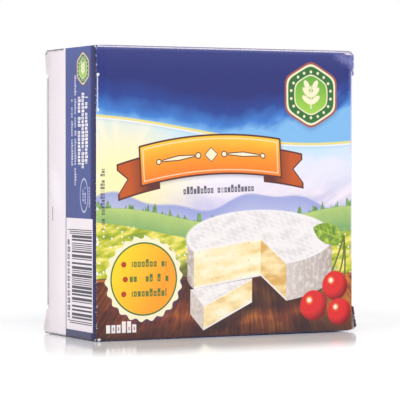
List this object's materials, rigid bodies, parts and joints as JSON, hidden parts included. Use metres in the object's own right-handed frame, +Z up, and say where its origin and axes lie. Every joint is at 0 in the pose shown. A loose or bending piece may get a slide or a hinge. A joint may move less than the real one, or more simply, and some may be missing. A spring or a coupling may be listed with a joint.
{
  "type": "brie cheese carton",
  "caption": "Shut square folding carton of printed board for a small round brie, standing on one narrow side, with tuck-in end flaps.",
  "frame": {"origin": "middle of the base that the carton stands on", "axes": "+X to the right along the front panel, -Y towards the front panel's picture, +Z up; the tube's axis runs along X and the end flaps close it at -X and +X"},
  "size_m": [0.0902, 0.0378, 0.088],
  "materials": {
    "printed_board": "printed solid bleached board with a semi-gloss varnish",
    "bare_board": "unprinted white board, matt, and the raw cut edges"
  },
  "bodies": {
    "root": {"carton": "printed_board"}
  },
  "joints": []
}
